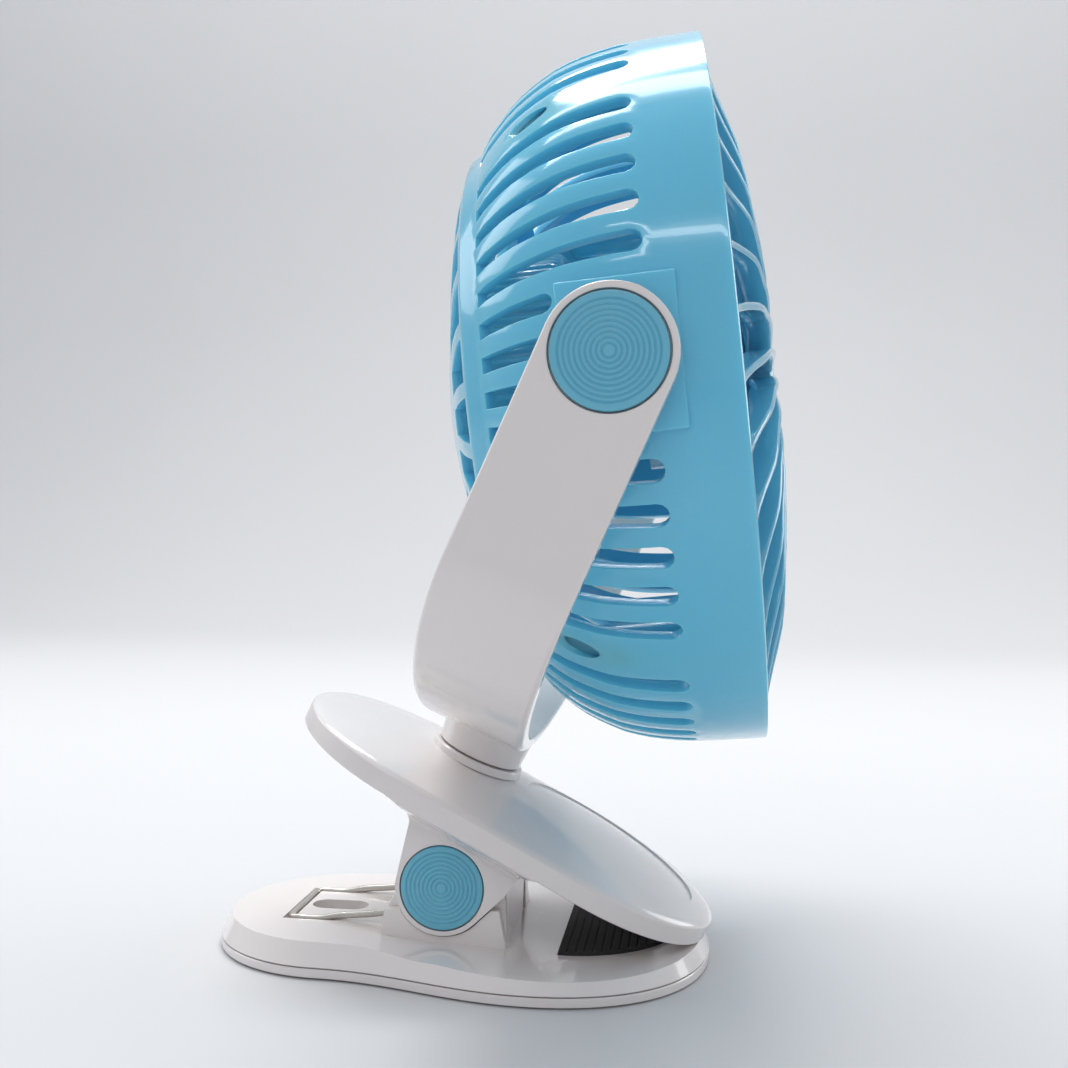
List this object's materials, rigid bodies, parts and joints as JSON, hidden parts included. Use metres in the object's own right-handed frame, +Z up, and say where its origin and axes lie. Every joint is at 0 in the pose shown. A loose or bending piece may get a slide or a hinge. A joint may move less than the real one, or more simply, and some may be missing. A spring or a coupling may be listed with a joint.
{
  "type": "clip fan",
  "caption": "Clip fan: a slotted round head in a U yoke that swivels on the upper jaw of a spring clip, which also stands on a table.",
  "frame": {"origin": "on the flat underside of the base, straight below the axle of the clip", "axes": "+Z up, +X the way the air blows and towards the tip of the clip, +Y to the far side of the picture"},
  "size_m": [0.1466, 0.1908, 0.2333],
  "materials": {
    "white_plastic": "glossy moulded, warm white",
    "blue_plastic": "glossy moulded, light blue",
    "blue_clear_plastic": "glossy, slightly translucent light blue",
    "black_rubber": "matte",
    "black_plastic": "matte moulded",
    "steel": "bright drawn steel",
    "brass": "turned",
    "cell_can": "bare metal can",
    "board": "circuit board lacquer"
  },
  "bodies": {
    "base": {"base_cover": "white_plastic", "base_shell": "white_plastic", "base_pad": "black_rubber", "foot_1": "black_rubber", "foot_2": "black_rubber", "foot_3": "black_rubber", "foot_4": "black_rubber", "base_screw_1": "steel", "base_screw_2": "steel", "base_screw_3": "steel", "clip_axle": "steel", "torsion_spring": "steel"},
    "upper_jaw": {"jaw_shell": "white_plastic", "jaw_cover": "white_plastic", "jaw_pad": "black_rubber", "pivot_cap_near": "blue_plastic", "pivot_cap_far": "blue_plastic"},
    "yoke": {"yoke": "white_plastic", "swivel_bolt": "steel", "swivel_washer": "steel", "swivel_nut": "steel", "tilt_cap_near": "blue_plastic", "tilt_cap_far": "blue_plastic", "tilt_bolt_near": "steel", "tilt_bolt_far": "steel"},
    "head": {"rear_shell": "blue_plastic", "front_grille": "blue_clear_plastic", "grille_cap": "white_plastic", "shell_screw_1": "steel", "shell_screw_2": "steel", "shell_screw_3": "steel", "shell_screw_4": "steel", "tilt_washer_near": "black_rubber", "tilt_washer_far": "black_rubber", "tilt_nut_near": "brass", "tilt_nut_far": "brass", "pod_housing": "blue_plastic", "motor_can": "steel", "motor_end_bell": "black_plastic", "motor_bush": "brass", "battery_cell": "cell_can", "circuit_board": "board", "charge_socket": "steel"},
    "button": {"power_button": "blue_plastic"},
    "rotor": {"fan_blades": "blue_clear_plastic", "motor_shaft": "steel"}
  },
  "joints": [
    {"name": "clip_open", "type": "hinge", "parent": "base", "child": "upper_jaw", "pos_m": [0, 0, 0.0203], "axis": [0, -1, 0], "range_deg": [0, 35], "stiffness_Nm_per_rad": 0.6, "springref_deg": -57.3, "deforming": ["torsion_spring"]},
    {"name": "yoke_pan", "type": "hinge", "parent": "upper_jaw", "child": "yoke", "pos_m": [0.0451, 0, 0.1427], "axis": [0.3987, 0, 0.9171], "range_deg": [-180, 180]},
    {"name": "head_tilt", "type": "hinge", "parent": "yoke", "child": "head", "pos_m": [0.0451, 0, 0.1427], "axis": [0, -1, 0], "range_deg": [-30, 90]},
    {"name": "blade_spin", "type": "hinge", "parent": "head", "child": "rotor", "pos_m": [0.06945, 0, 0.14541], "axis": [0.9938, 0, 0.1108], "continuous": true},
    {"name": "button_press", "type": "slide", "parent": "head", "child": "button", "axis": [0.9938, 0, 0.1108], "range_m": [0, 0.0008], "stiffness_N_per_m": 400, "springref_m": -0.0012}
  ]
}
